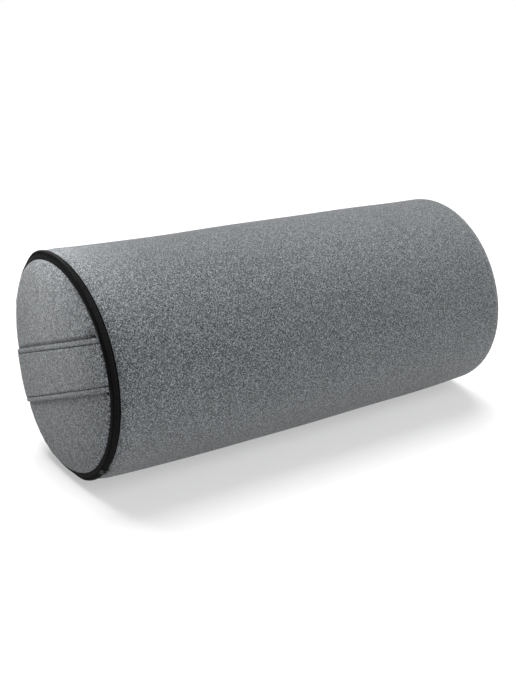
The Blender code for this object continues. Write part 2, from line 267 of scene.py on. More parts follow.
def filled_unevenness(station, angle):
    """How far the filling presses the body out at each place, over the even roll."""
    steps = np.linspace(BODY_START, SEAM_TO_SEAM, COARSE_STEPS)
    turns = np.linspace(0.0, 2 * math.pi, COARSE_TURN_STEPS, endpoint=False)
    from_seam = np.clip(np.minimum(steps - BODY_START, SEAM_TO_SEAM - steps) / NEAR_SHOULDER, 0.0, 1.0)
    drawn_in = (RADIUS - FAR_SEAM_RADIUS) * (1 - from_seam) ** SHOULDER_POWER
    radius = np.repeat((body_radius(steps) - drawn_in)[:, None], len(turns), axis=1)
    along = np.repeat(steps[:, None], len(turns), axis=1)
    ring = np.stack([along, RADIUS * np.cos(turns) + 0 * along, RADIUS * np.sin(turns) + 0 * along], -1)
    radius += LUMP_HEIGHT * rough(ring, LUMP_SIZE, 3.1) * from_seam[:, None]
    start = np.stack([along, radius * np.cos(turns), radius * np.sin(turns)], axis=-1)
    end = pressed_out(start)
    pressed = np.hypot(end[..., 1], end[..., 2]) - radius
    pressed = np.clip(pressed - pressed.mean(axis=1, keepdims=True), -FILLING_CAP, FILLING_CAP)
    row = (station - BODY_START) / (SEAM_TO_SEAM - BODY_START) * (COARSE_STEPS - 1)
    return spread_over(pressed, row, angle)


def make_body():
    """The body's skin, with its unevenness, its puckers and its back seam."""
    profile = body_profile()
    angles = body_angles()
    station = np.repeat(profile[:, :1], len(angles), axis=1)
    radius = np.repeat(profile[:, 1:], len(angles), axis=1)
    angle = np.repeat(angles[None, :], len(profile), axis=0)
    ring = np.stack([station, RADIUS * np.cos(angle), RADIUS * np.sin(angle)], axis=-1)

    lumps = LUMP_HEIGHT * rough(ring, LUMP_SIZE, 3.1)
    gathers = rough(ring * [0.35, 1.0, 1.0], PUCKER_SIZE, 1.9)
    from_near = np.maximum(station - BODY_START, 0.0)
    from_far = np.maximum(SEAM_TO_SEAM - station, 0.0)
    near_pull = np.exp(-from_near / PUCKER_REACH)
    near_pull *= np.clip(from_near / PUCKER_RISE, PUCKER_AT_SEAM, 1.0)
    far_pull = FAR_PUCKER_SHARE * np.exp(-from_far / PUCKER_REACH)
    from_seam = np.minimum(from_near, from_far)
    ends = np.clip(from_seam / LUMP_FADE, LUMP_AT_SEAM, 1.0)
    free = np.clip((from_seam - SMOOTH_FROM_SEAM) / SMOOTH_FADE, 0.0, 1.0)
    bulge = lumps * ends + PUCKER_HEIGHT * gathers * (near_pull + far_pull)
    bulge += filled_unevenness(station, angle) * free * free * (3 - 2 * free)

    away = ((angle - BACK_SEAM_ANGLE + math.pi) % (2 * math.pi) - math.pi) * RADIUS
    groove = -BACK_SEAM_DEPTH * np.exp(-((away / BACK_SEAM_HALF_WIDTH) ** 2))
    beside = SEAM_RIDGE * np.exp(-(((np.abs(away) - SEAM_RIDGE_PLACE) / SEAM_RIDGE_HALF_WIDTH) ** 2))
    snags = SNAG_HEIGHT * rough(ring * [1.0, 0.3, 0.3], SNAG_SIZE, 5.3)
    snags *= np.exp(-np.abs(away) / SNAG_REACH)
    inside = np.clip(from_near / BACK_SEAM_ENDS, 0.0, 1.0) * np.clip(from_far / BACK_SEAM_ENDS, 0.0, 1.0)
    bulge += (groove + beside + snags) * inside

    radius = radius + bulge
    return skin("body_cloth", settled(station, radius * np.cos(angle), radius * np.sin(angle)))


body = make_body()
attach(body, "root")
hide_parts("filled_body")

# The cloth: a plain weave of melange yarn, spun from pale, mid and charcoal fibres, so that every
# thread runs through lighter and darker stretches. It has a short, soft nap.
CLOTH_THREAD = 0.00090
CLOTH_FLECK = 0.0026
YARN_DARK = (0.019, 0.0205, 0.022, 1.0)
YARN_MID = (0.087, 0.095, 0.101, 1.0)
YARN_PALE = (0.300, 0.324, 0.339, 1.0)


class Tree:
    """Places and joins nodes in a material or a node group."""

    def __init__(self, tree):
        self.tree = tree

    def put(self, kind, inputs=(), **settings):
        """Adds a node. Inputs are (socket name or number, value or output) pairs."""
        node = self.tree.nodes.new(kind)
        node.location = (180 * len(self.tree.nodes), 0)
        for key, value in settings.items():
            setattr(node, key, value)
        for socket, value in inputs:
            if isinstance(value, bpy.types.NodeSocket):
                self.tree.links.new(value, node.inputs[socket])
            else:
                node.inputs[socket].default_value = value
        return node

    def math(self, operation, *values):
        """A Math node's output."""
        node = self.put("ShaderNodeMath", list(enumerate(values)), operation=operation)
        return node.outputs[0]

    def blend(self, share, first, second, kind="RGBA", blend_type="MIX"):
        """A Mix node's output: the first colour or value at 0, the second at 1."""
        node = self.put("ShaderNodeMix", data_type=kind, blend_type=blend_type)
        names = {"RGBA": ("Factor_Float", "A_Color", "B_Color", "Result_Color"),
                 "FLOAT": ("Factor_Float", "A_Float", "B_Float", "Result_Float")}[kind]
        for wanted, value in zip(names, (share, first, second)):
            socket = next(s for s in node.inputs if s.identifier == wanted)
            if isinstance(value, bpy.types.NodeSocket):
                self.tree.links.new(value, socket)
            else:
                socket.default_value = value
        return next(s for s in node.outputs if s.identifier == names[3])


def new_group(name, inputs, outputs):
    """An empty node group with these sockets, each given as (name, kind)."""
    group = bpy.data.node_groups.new(name, "ShaderNodeTree")
    for label, kind in inputs:
        group.interface.new_socket(label, in_out="INPUT", socket_type="NodeSocket" + kind)
    for label, kind in outputs:
        group.interface.new_socket(label, in_out="OUTPUT", socket_type="NodeSocket" + kind)
    tree = Tree(group)
    return group, tree, tree.put("NodeGroupInput").outputs, tree.put("NodeGroupOutput").inputs


def make_round_grain():
    """Where a point lies on the rolled cloth: its distance along the roll and round it."""
    group, tree, given, result = new_group(
        "round grain",
        [("Position", "Vector"), ("Axis", "Vector"), ("Radius", "Float"), ("Seam", "Float")],
        [("Along", "Float"), ("Across", "Float")],
    )
    parts = tree.put("ShaderNodeSeparateXYZ", [(0, given["Position"])]).outputs
    from_axis = tree.put(
        "ShaderNodeVectorMath", [(0, given["Position"]), (1, given["Axis"])], operation="SUBTRACT"
    )
    turned = tree.put(
        "ShaderNodeVectorRotate",
        [("Vector", from_axis.outputs[0]), ("Angle", given["Seam"])],
        rotation_type="X_AXIS",
    )
    sides = tree.put("ShaderNodeSeparateXYZ", [(0, turned.outputs[0])]).outputs
    angle = tree.math("ARCTAN2", sides["Z"], sides["Y"])
    around = tree.math("MULTIPLY", angle, given["Radius"])
    tree.tree.links.new(parts["X"], result["Along"])
    tree.tree.links.new(around, result["Across"])
    return group


def make_melange_weave():
    """A plain weave whose threads run through pale, mid and dark stretches of fibre, with painted shade
    where they dip.
    """
    group, tree, given, result = new_group(
        "melange weave",
        [("Along", "Float"), ("Across", "Float"), ("Thread", "Float"), ("Fleck", "Float"),
         ("Dark", "Color"), ("Mid", "Color"), ("Pale", "Color")],
        [("Color", "Color"), ("Height", "Float")],
    )
    place = []
    for side in ("Along", "Across"):
        count = tree.math("DIVIDE", given[side], given["Thread"])
        place.append((count, tree.math("FLOOR", count), tree.math("FRACT", count)))
    (along, warp, warp_part), (across, weft, weft_part) = place
    both = tree.math("ADD", warp, weft)
    warp_on_top = tree.math("FLOORED_MODULO", both, 2.0)

    shares = []
    stretch = tree.math("DIVIDE", given["Thread"], given["Fleck"])
    for thread, run, seed in ((warp, across, 11.0), (weft, along, 47.0)):
        jump = tree.math("MULTIPLY", thread, 13.37)
        length = tree.math("MULTIPLY", run, stretch)
        spot = tree.put("ShaderNodeCombineXYZ", [("X", jump), ("Y", length), ("Z", seed)])
        fibres = tree.put(
            "ShaderNodeTexNoise",
            [("Vector", spot.outputs[0]), ("Scale", 1.0), ("Detail", 2.0), ("Roughness", 0.65)],
            noise_dimensions="3D",
        )
        shares.append(fibres.outputs["Fac"])
    share = tree.blend(warp_on_top, shares[1], shares[0], kind="FLOAT")
    darker = tree.put(
        "ShaderNodeMapRange", [("Value", share), ("From Min", 0.41), ("From Max", 0.49)]
    ).outputs[0]
    paler = tree.put(
        "ShaderNodeMapRange", [("Value", share), ("From Min", 0.52), ("From Max", 0.62)]
    ).outputs[0]
    yarn = tree.blend(darker, given["Dark"], given["Mid"])
    yarn = tree.blend(paler, yarn, given["Pale"])

    crowns = []
    for part in (warp_part, weft_part):
        arch = tree.math("SINE", tree.math("MULTIPLY", part, math.pi))
        crowns.append(arch)
    across_warp = tree.math("MULTIPLY_ADD", crowns[1], 0.4, 0.6)
    across_weft = tree.math("MULTIPLY_ADD", crowns[0], 0.4, 0.6)
    warp_height = tree.math("MULTIPLY", crowns[0], across_warp)
    weft_height = tree.math("MULTIPLY", crowns[1], across_weft)
    height = tree.blend(warp_on_top, weft_height, warp_height, kind="FLOAT")
    # Painted shade: where the weave lies low, between the crowns of the threads, the yarn's colour is
    # darkened to as little as 0.62 of itself.
    painted_gap_shade = tree.put(
        "ShaderNodeMapRange",
        [("Value", height), ("From Min", 0.0), ("From Max", 0.7), ("To Min", 0.62), ("To Max", 1.0)],
    ).outputs[0]
    shade = tree.put("ShaderNodeCombineColor", [(0, painted_gap_shade), (1, painted_gap_shade), (2, painted_gap_shade)])
    colour = tree.blend(1.0, yarn, shade.outputs[0], blend_type="MULTIPLY")
    tree.tree.links.new(colour, result["Color"])
    tree.tree.links.new(height, result["Height"])
    return group


def make_soft_unevenness():
    """Slow drifts of tone over a cloth, as dye, handling and light nap leave them."""
    group, tree, given, result = new_group(
        "soft unevenness",
        [("Position", "Vector"), ("Color", "Color"), ("Size", "Float"), ("Strength", "Float")],
        [("Color", "Color")],
    )
    scale = tree.math("DIVIDE", 1.0, given["Size"])
    drift = tree.put(
        "ShaderNodeTexNoise",
        [("Vector", given["Position"]), ("Scale", scale), ("Detail", 3.0), ("Roughness", 0.6)],
    )
    centred = tree.math("SUBTRACT", drift.outputs["Fac"], 0.5)
    tone = tree.math("MULTIPLY_ADD", centred, given["Strength"], 1.0)
    shade = tree.put("ShaderNodeCombineColor", [(0, tone), (1, tone), (2, tone)])
    colour = tree.blend(1.0, given["Color"], shade.outputs[0], blend_type="MULTIPLY")
    tree.tree.links.new(colour, result["Color"])
    return group


round_grain = make_round_grain()
melange_weave = make_melange_weave()
soft_unevenness = make_soft_unevenness()


def new_material(name, roughness, specular, sheen=0.0, metallic=0.0):
    """A Principled material with its even values set on the shader itself."""
    material = bpy.data.materials.new(name)
    material.use_nodes = True
    shader = material.node_tree.nodes["Principled BSDF"]
    shader.inputs["Roughness"].default_value = roughness
    shader.inputs["Specular IOR Level"].default_value = specular
    shader.inputs["Metallic"].default_value = metallic
    shader.inputs["Sheen Weight"].default_value = sheen
    shader.inputs["Sheen Roughness"].default_value = 0.55
    return material, Tree(material.node_tree), shader.inputs


def place_group(tree, group, inputs):
    """A node that uses a group."""
    node = tree.put("ShaderNodeGroup", node_tree=group)
    for socket, value in inputs:
        if isinstance(value, bpy.types.NodeSocket):
            tree.tree.links.new(value, node.inputs[socket])
        else:
            node.inputs[socket].default_value = value
    return node.outputs


def make_cloth(name, grain, coarser=1.0):
    """The melange cloth, its threads laid by a function that gives (along, across)."""
    material, tree, shader = new_material(name, 0.94, 0.20, sheen=0.20)
    spot = tree.put("ShaderNodeTexCoord").outputs["Object"]
    along, across = grain(tree, spot)
    weave = place_group(tree, melange_weave, [
        ("Along", along), ("Across", across),
        ("Thread", CLOTH_THREAD * coarser), ("Fleck", CLOTH_FLECK * coarser),
        ("Dark", YARN_DARK), ("Mid", YARN_MID), ("Pale", YARN_PALE),
    ])
    tone = place_group(tree, soft_unevenness, [
        ("Position", spot), ("Color", weave["Color"]), ("Size", 0.055), ("Strength", 0.16),
    ])
    relief = tree.put(
        "ShaderNodeBump",
        [("Strength", 0.55), ("Distance", 0.00035), ("Height", weave["Height"])],
    )
    tree.tree.links.new(tone["Color"], shader["Base Color"])
    tree.tree.links.new(relief.outputs[0], shader["Normal"])
    return material


def rolled_grain(tree, spot):
    """Threads along the roll and round it, starting at the back seam."""
    turned = place_group(tree, round_grain, [
        ("Position", spot), ("Axis", (0.0, AXIS_Y, AXIS_HEIGHT)), ("Radius", RADIUS),
        ("Seam", math.pi - BACK_SEAM_ANGLE),
    ])
    return turned["Along"], turned["Across"]


body.data.materials.append(make_cloth("melange cloth, rolled", rolled_grain))


# The two end panels: round pieces of the same cloth, each domed by the filling behind it. The near
# one is sewn to the zip tape, the far one straight to the body in a plain seam.
NEAR_DOME_HEIGHT = 0.0105
FAR_RIM_RADIUS = 0.1293
FAR_DOME_HEIGHT = 0.0105
DOME_POWER = 2.05
NEAR_DOME_STEPS, NEAR_TURN_STEPS = 96, 480
FAR_DOME_STEPS, FAR_TURN_STEPS = 60, 288
PANEL_COARSE_STEPS, PANEL_COARSE_TURN_STEPS = 22, 96
PANEL_HUB = 0.04
PANEL_LUMP_HEIGHT = 0.0006
PANEL_LUMP_SIZE = 0.070
PANEL_LUMP_FADE = 0.030
PANEL_FADE_SHARE = 0.23
PANEL_PUCKER_HEIGHT = 0.00050
PANEL_PUCKER_REACH = 0.0095
PANEL_PUCKER_RISE = 0.0020
WIDE_PUCKER_SHARE, WIDE_PUCKER_SIZE = 0.6, 2.3 * PUCKER_SIZE
PANEL_SEAM_DROP = 0.0012
PANEL_SEAM_INSET = 0.0004
PANEL_TUCK = (0.0016, 0.0060)
END_CLOTH_COARSER = 1.25
STRAP_WIDTH = 0.0632
STRAP_WIDENING = 0.082
STRAP_TILT = math.radians(-20)
STRAP_DIP = 0.0014
STRAP_DIP_EDGE = 0.0048
STRAP_DIP_END = 0.0120
STRAP_PITS = (
    (math.radians(145), 0.1190, 0.0046, 0.0060),
    (math.radians(174.4), 0.1240, 0.0050, 0.0034),
)


def strap_dip(along, height):
    """How deep the strap presses the panel in, at a place along the strap and across it."""
    half = STRAP_WIDTH / 2 * (1 + STRAP_WIDENING * along / NEAR_RIM_RADIUS)
    beside = np.clip((np.abs(height) - half) / STRAP_DIP_EDGE, 0.0, 1.0)
    from_rim = np.clip((NEAR_RIM_RADIUS - np.hypot(along, height)) / STRAP_DIP_END, 0.0, 1.0)
    return STRAP_DIP * (1 - beside * beside * (3 - 2 * beside)) * from_rim * (2 - from_rim)


def filled_panel_unevenness(rim, height, seed, radius, angle):
    """How far the filling presses a panel out at each place, over its even dome."""
    share = np.linspace(1.0, PANEL_HUB, PANEL_COARSE_STEPS)[:, None]
    turns = np.linspace(0.0, 2 * math.pi, PANEL_COARSE_TURN_STEPS, endpoint=False)[None, :]
    dome = height * (1 - share**DOME_POWER) ** (1 / DOME_POWER) + 0 * turns
    start = np.stack([-dome, rim * share * np.cos(turns), rim * share * np.sin(turns)], axis=-1)
    lumps = PANEL_LUMP_HEIGHT * rough(start, PANEL_LUMP_SIZE, seed)
    start[..., 0] -= lumps * np.clip((1 - share) / PANEL_FADE_SHARE, 0.0, 1.0)
    end = pressed_out(start, last_is_sewn=False)
    pressed = start[..., 0] - end[..., 0]
    pressed = np.clip(pressed - pressed.mean(axis=1, keepdims=True), -FILLING_CAP, FILLING_CAP)
    row = (1 - radius / rim) / (1 - PANEL_HUB) * (PANEL_COARSE_STEPS - 1)
    return spread_over(pressed, np.maximum(row, 0.0), angle)


def make_panel(name, station, outward, rim, height, seed, steps, strapped=False):
    """A domed panel at a station, its rim rolled under into the seam. On the near one the strap
    presses the cloth in, and pulls a pit into it where the strap is sewn on."""
    dome_steps, turn_steps = steps
    profile = [
        (-PANEL_TUCK[0] * outward, rim - PANEL_TUCK[1]),
        (-PANEL_SEAM_DROP * outward, rim - PANEL_SEAM_INSET),
    ]
    for across, along in quarter_round(dome_steps, DOME_POWER)[:0:-1]:
        profile.append((height * along * outward, rim * across))
    profile = np.array(profile)
    angles = np.linspace(0.0, 2 * math.pi, turn_steps, endpoint=False)
    rise = np.repeat(profile[:, :1], len(angles), axis=1)
    radius = np.repeat(profile[:, 1:], len(angles), axis=1)
    y = radius * np.cos(angles)[None, :]
    z = radius * np.sin(angles)[None, :]
    ring = np.stack([np.zeros_like(y), y, z], axis=-1)
    hub = np.stack(
        [np.zeros_like(y), rim * np.cos(angles) + 0 * y, rim * np.sin(angles) + 0 * y], axis=-1
    )
    inward = rim - radius
    free = np.clip(inward / PANEL_LUMP_FADE, 0.0, 1.0)
    lumps = PANEL_LUMP_HEIGHT * rough(ring, PANEL_LUMP_SIZE, seed)
    lumps += filled_panel_unevenness(rim, height, seed, radius, angles[None, :] + 0 * radius)
    lumps *= free
    if strapped:
        along = y * math.cos(STRAP_TILT) + z * math.sin(STRAP_TILT)
        lumps -= strap_dip(along, z * math.cos(STRAP_TILT) - y * math.sin(STRAP_TILT))
        for pit_angle, pit_radius, depth, width in STRAP_PITS:
            pit_y, pit_z = pit_radius * math.cos(pit_angle), pit_radius * math.sin(pit_angle)
            lumps -= depth * np.exp(-((np.hypot(y - pit_y, z - pit_z) / width) ** 2))
    gathers = rough(hub, PUCKER_SIZE, seed + 4.0)
    gathers += WIDE_PUCKER_SHARE * rough(hub, WIDE_PUCKER_SIZE, seed + 9.0)
    pull = np.clip(inward / PANEL_PUCKER_RISE, 0.0, 1.0) * np.exp(-inward / PANEL_PUCKER_REACH)
    rise = rise + outward * (lumps + PANEL_PUCKER_HEIGHT * gathers * pull)
    return skin(name, settled(station + rise, y, z))


def flat_grain(tree, spot):
    """Threads across and up a flat panel."""
    parts = tree.put("ShaderNodeSeparateXYZ", [(0, spot)]).outputs
    return parts["Y"], parts["Z"]


panel_cloth = make_cloth("melange cloth, end panels", flat_grain, coarser=END_CLOTH_COARSER)
near_panel = make_panel(
    "zip_end_panel_cloth", 0.0, -1, NEAR_RIM_RADIUS, NEAR_DOME_HEIGHT, 2.2,
    (NEAR_DOME_STEPS, NEAR_TURN_STEPS), strapped=True,
)
far_panel = make_panel(
    "plain_end_panel_cloth", SEAM_TO_SEAM + CLEARANCE, 1, FAR_RIM_RADIUS, FAR_DOME_HEIGHT, 6.4,
    (FAR_DOME_STEPS, FAR_TURN_STEPS),
)
for panel, node in ((near_panel, "zip_end_panel"), (far_panel, "plain_end_panel")):
    panel.data.materials.append(panel_cloth)
    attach(panel, "root")
    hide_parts(node)


# The zip tape: two narrow black woven tapes that meet under the coil, sewn in between the body and
# the near end panel. The filling makes the pair bulge over the edge of the roll.
TAPE_WIDTH = 0.0098
TAPE_INNER_RADIUS = 0.1290
TAPE_OUTER_RADIUS = 0.1350
TAPE_BULGE = 0.0054
BACK_BULGE = 0.0018
BACK_MIDDLE = math.radians(-22)
BACK_INNER, BACK_OUTER = math.radians(70), math.radians(92)
TAPE_ROOT_RADIUS = 0.1200
TAPE_STEPS = 44
TAPE_TURN_STEPS = 480
TAPE_WAVE, TAPE_WAVE_SIZE = 0.00030, 0.016
COIL_PLACE = 0.17
COIL_WIDTH = 0.0050
COIL_HOLLOW, COIL_HOLLOW_PLACE, COIL_HOLLOW_HALF_WIDTH = 0.00035, 0.34, 0.06

tape_inner = np.array([CLEARANCE, TAPE_INNER_RADIUS])
tape_outer = np.array([TAPE_WIDTH, TAPE_OUTER_RADIUS])
tape_half = np.hypot(*(tape_outer - tape_inner)) / 2
tape_across = (tape_outer - tape_inner) / (2 * tape_half)
tape_out = np.array([-tape_across[1], tape_across[0]])


def tape_bulge(angle):
    """How far the tape bulges at an angle: little at the back, where the end panel hides it."""
    away = np.abs((angle - BACK_MIDDLE + math.pi) % (2 * math.pi) - math.pi)
    share = np.clip((away - BACK_INNER) / (BACK_OUTER - BACK_INNER), 0.0, 1.0)
    return BACK_BULGE + (TAPE_BULGE - BACK_BULGE) * share * share * (3 - 2 * share)


def on_tape(place, lift, angle):
    """(station, radius) on the tape, or above it by a lift. The place runs from -1 at the tape's
    inner edge to 1 at its outer edge, and COIL_PLACE is the coil's middle."""
    bulge = tape_bulge(angle)
    curve = (tape_half**2 + bulge**2) / (2 * bulge)
    lean = place * np.arcsin(np.clip(tape_half / curve, 0.0, 1.0))
    up = np.cos(lean) * (curve + lift) - (curve - bulge)
    along = np.sin(lean) * (curve + lift)
    middle = (tape_inner + tape_outer) / 2
    station = middle[0] + tape_out[0] * up + tape_across[0] * along
    radius = middle[1] + tape_out[1] * up + tape_across[1] * along
    return station, radius


def make_tape():
    """The tape ring: a bulging face with a hollow each side of the coil, and plain sides."""
    angles = np.linspace(0.0, 2 * math.pi, TAPE_TURN_STEPS, endpoint=False)[None, :]
    place = np.linspace(-1.0, 1.0, TAPE_STEPS + 1)[:, None]
    from_hollow = (np.abs(place - COIL_PLACE) - COIL_HOLLOW_PLACE) / COIL_HOLLOW_HALF_WIDTH
    hollow = -COIL_HOLLOW * np.exp(-(from_hollow**2))
    station, radius = on_tape(place, hollow, angles)
    ring = np.stack(
        [station, RADIUS * np.cos(angles) + 0 * radius, RADIUS * np.sin(angles) + 0 * radius], axis=-1
    )
    free = 1 - place**6
    radius = radius + free * TAPE_WAVE * rough(ring * [1.5, 1, 1], TAPE_WAVE_SIZE, 4.4)
    sides = np.array([(TAPE_WIDTH, TAPE_ROOT_RADIUS), (CLEARANCE, TAPE_ROOT_RADIUS)])
    station = np.vstack([station, sides[:, :1] + 0 * angles])
    radius = np.vstack([radius, sides[:, 1:] + 0 * angles])
    points = settled(station, radius * np.cos(angles), radius * np.sin(angles))
    return skin("zip_tape_cloth", points, section_closed=True)


def make_tape_weave():
    """Black tape: fine ribs over dull, flecked yarn."""
    material, tree, shader = new_material("black zip tape", 0.62, 0.035)
    spot = tree.put("ShaderNodeTexCoord").outputs["Object"]
    turned = place_group(tree, round_grain, [
        ("Position", spot), ("Axis", (0.0, AXIS_Y, AXIS_HEIGHT)), ("Radius", RADIUS),
        ("Seam", math.pi - BACK_SEAM_ANGLE),
    ])
    flat = tree.put("ShaderNodeCombineXYZ", [("X", turned["Across"]), ("Y", turned["Along"])])
    ribs = tree.put(
        "ShaderNodeTexWave",
        [("Vector", flat.outputs[0]), ("Scale", 320.0), ("Distortion", 1.5), ("Detail", 2.0),
         ("Detail Scale", 4.0)],
    )
    fibre = tree.put("ShaderNodeTexNoise", [("Vector", spot), ("Scale", 900.0), ("Detail", 2.0)])
    height = tree.blend(0.4, ribs.outputs["Fac"], fibre.outputs["Fac"], kind="FLOAT")
    colour = tree.blend(fibre.outputs["Fac"], (0.0012, 0.0012, 0.0014, 1.0), (0.0036, 0.0036, 0.0040, 1.0))
    relief = tree.put("ShaderNodeBump", [("Strength", 0.6), ("Distance", 0.0002), ("Height", height)])
    tree.tree.links.new(colour, shader["Base Color"])
    tree.tree.links.new(relief.outputs[0], shader["Normal"])
    return material


tape = make_tape()
tape_black = make_tape_weave()
tape.data.materials.append(tape_black)
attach(tape, "root")
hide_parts("zip_tape")


# The zip coil: two spirals of black nylon monofilament, one on each tape, their turns closed into
# each other so that they make one ridge. Each spiral is sewn down along its outer edge.
COIL_PITCH = 0.00145
TAPE_HALF_ARC = 0.0086
COIL_WIRE = 0.00036
COIL_HEIGHT = 0.0015
COIL_LIFT = 0.0003
COIL_TURN_STEPS = 8
COIL_SIDES = 5


def tube(path, away, radius, sides, name):
    """A closed tube round a closed path, with a direction at each point that is across it."""
    ahead = np.roll(path, -1, axis=0) - np.roll(path, 1, axis=0)
    ahead /= np.linalg.norm(ahead, axis=1, keepdims=True)
    first = away - ahead * np.sum(away * ahead, axis=1, keepdims=True)
    first /= np.linalg.norm(first, axis=1, keepdims=True)
    second = np.cross(ahead, first)
    turn = np.linspace(0.0, 2 * math.pi, sides, endpoint=False)
    size = np.broadcast_to(np.asarray(radius, dtype=float), (len(path),))[:, None, None]
    rim = first[:, None] * np.cos(turn)[None, :, None] + second[:, None] * np.sin(turn)[None, :, None]
    return skin(name, path[:, None] + rim * size, section_closed=True)


def ring_points(place, lift, angles):
    """World points on the zip at an angle round the roll, and the way out of the tape there."""
    spots = []
    for more in (0.0, 0.002):
        station, radius = on_tape(place, lift + more, angles)
        spots.append(settled(station, radius * np.cos(angles), radius * np.sin(angles)))
    return spots[0], spots[1] - spots[0]


def make_coil(name, side, phase):
    """One spiral, as a flattened helix that runs round the roll on its half of the tape."""
    turns = round(2 * math.pi * RADIUS / COIL_PITCH)
    count = turns * COIL_TURN_STEPS
    step = np.arange(count)
    turn = 2 * math.pi * (step / COIL_TURN_STEPS + phase)
    angles = 2 * math.pi * step / count
    half = COIL_WIDTH / 2 - COIL_WIRE
    offset = side * half * (0.42 + 0.58 * np.cos(turn))
    lift = COIL_HEIGHT * 0.5 + (COIL_HEIGHT * 0.5 - COIL_WIRE) * np.sin(turn) + COIL_LIFT
    path, away = ring_points(COIL_PLACE + offset / TAPE_HALF_ARC, lift, angles)
    return tube(path, away, COIL_WIRE, COIL_SIDES, name)


def make_nylon():
    """Black nylon: smooth and a little glossy, finely mottled in tone and gloss."""
    material, tree, shader = new_material("black nylon", 0.36, 0.13)
    spot = tree.put("ShaderNodeTexCoord").outputs["Object"]
    grain = tree.put("ShaderNodeTexNoise", [("Vector", spot), ("Scale", 700.0), ("Detail", 2.0)])
    colour = tree.blend(grain.outputs["Fac"], (0.0012, 0.0012, 0.0014, 1.0), (0.0040, 0.0040, 0.0044, 1.0))
    gloss = tree.put(
        "ShaderNodeMapRange",
        [("Value", grain.outputs["Fac"]), ("To Min", 0.28), ("To Max", 0.46)],
    )
    tree.tree.links.new(colour, shader["Base Color"])
    tree.tree.links.new(gloss.outputs[0], shader["Roughness"])
    return material


nylon = make_nylon()
body_coil = make_coil("zip_coil_body_side", 1, 0.0)
panel_coil = make_coil("zip_coil_panel_side", -1, 0.5)
for spiral in (body_coil, panel_coil):
    spiral.data.materials.append(nylon)
    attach(spiral, "root")
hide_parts("zip_coil")
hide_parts("zip_coil")

# The sewing that holds each spiral to its tape: a run of black thread along each outer edge, drawn
# in at every stitch, so that it lies on the tape as a row of small beads.
SEWING_PITCH = 0.0022
SEWING_THREAD = 0.00022
SEWING_LIFT = 0.00012
SEWING_FROM_COIL = 0.0009
for side, label in ((1, "body"), (-1, "panel")):
    beads = round(2 * math.pi * RADIUS / SEWING_PITCH)
    step = np.arange(beads * 4)
    thickness = SEWING_THREAD * (0.72 + 0.28 * np.cos(2 * math.pi * step / 4))
    place = COIL_PLACE + side * (COIL_WIDTH / 2 + SEWING_FROM_COIL) / TAPE_HALF_ARC
    path, away = ring_points(place, SEWING_LIFT, 2 * math.pi * step / len(step))
    sewing = tube(path, away, thickness, 5, f"zip_sewing_{label}_side")
    sewing.data.materials.append(tape_black)
    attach(sewing, "root")


# The zip slider: a small dark lacquered metal channel that has run to the end of the zip. Its
# shape comes from the frame, and it gets its lacquer here, rubbed a little where it is handled.
def make_lacquer():
    """Dark lacquered metal, slightly uneven in gloss."""
    material, tree, shader = new_material("dark lacquered metal", 0.45, 0.10)
    spot = tree.put("ShaderNodeTexCoord").outputs["Object"]
    rub = tree.put("ShaderNodeTexNoise", [("Vector", spot), ("Scale", 420.0), ("Detail", 3.0)])
    colour = tree.blend(rub.outputs["Fac"], (0.0025, 0.0028, 0.0028, 1.0), (0.0085, 0.0090, 0.0090, 1.0))
    gloss = tree.put(
        "ShaderNodeMapRange",
        [("Value", rub.outputs["Fac"]), ("To Min", 0.30), ("To Max", 0.52)],
    )
    tree.tree.links.new(colour, shader["Base Color"])
    tree.tree.links.new(gloss.outputs[0], shader["Roughness"])
    return material


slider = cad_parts["zip_slider"]
slider.data.materials.clear()
slider.data.materials.append(make_lacquer())


# The carrying strap: a doubled band of the same cloth laid flat over the near end panel, stitched
# along both edges, its ends sewn in between the panel and the zip tape.
STRAP_THICKNESS = 0.0020
STRAP_EDGE = 0.0011
STRAP_GAP = 0.0005
STRAP_SLACK = 0.0014
STRAP_END = math.radians(89.6)
STRAP_TUCK = math.radians(9)
STRAP_TUCKED_THICKNESS = 0.0007
STRAP_STEPS = 170
STRAP_RIPPLE, STRAP_RIPPLE_SIZE = 0.00022, 0.012
STRAP_WAVE, STRAP_WAVE_SIZE = 0.00030, 0.030
HEM_WIDTH = 0.0060
STITCH_GROOVE = 0.00085
STITCH_GROOVE_HALF_WIDTH = 0.0010


def strap_surface(angle, height, lift):
    """(station, y, z) of the strap before the roll settles, that far above its underside."""
    reach = np.sqrt(NEAR_RIM_RADIUS**2 - height**2)
    base_x = -NEAR_DOME_HEIGHT * np.cos(angle)
    base_y = reach * np.sin(angle)
    out_x = -reach * np.cos(angle)
    out_y = NEAR_DOME_HEIGHT * np.sin(angle)
    size = np.hypot(out_x, out_y)
    slack = np.where(angle < 0, np.sin(2 * angle) ** 2, 0.0) * STRAP_SLACK
    free = np.clip((STRAP_END - np.abs(angle)) / STRAP_TUCK, 0.0, 1.0)
    free = np.sqrt(free * (2 - free))
    thin = STRAP_TUCKED_THICKNESS / STRAP_THICKNESS
    off = STRAP_GAP * free + slack + lift * (thin + (1 - thin) * free)
    x = base_x + out_x / size * off + strap_dip(base_y, height)
    y = base_y + out_y / size * off
    turned_y = y * math.cos(STRAP_TILT) - height * math.sin(STRAP_TILT)
    turned_z = y * math.sin(STRAP_TILT) + height * math.cos(STRAP_TILT)
    return x, turned_y, turned_z


def strap_half_width(angle):
    """Half the strap's width at an angle along it."""
    return STRAP_WIDTH / 2 * (1 + STRAP_WIDENING * np.sin(angle))


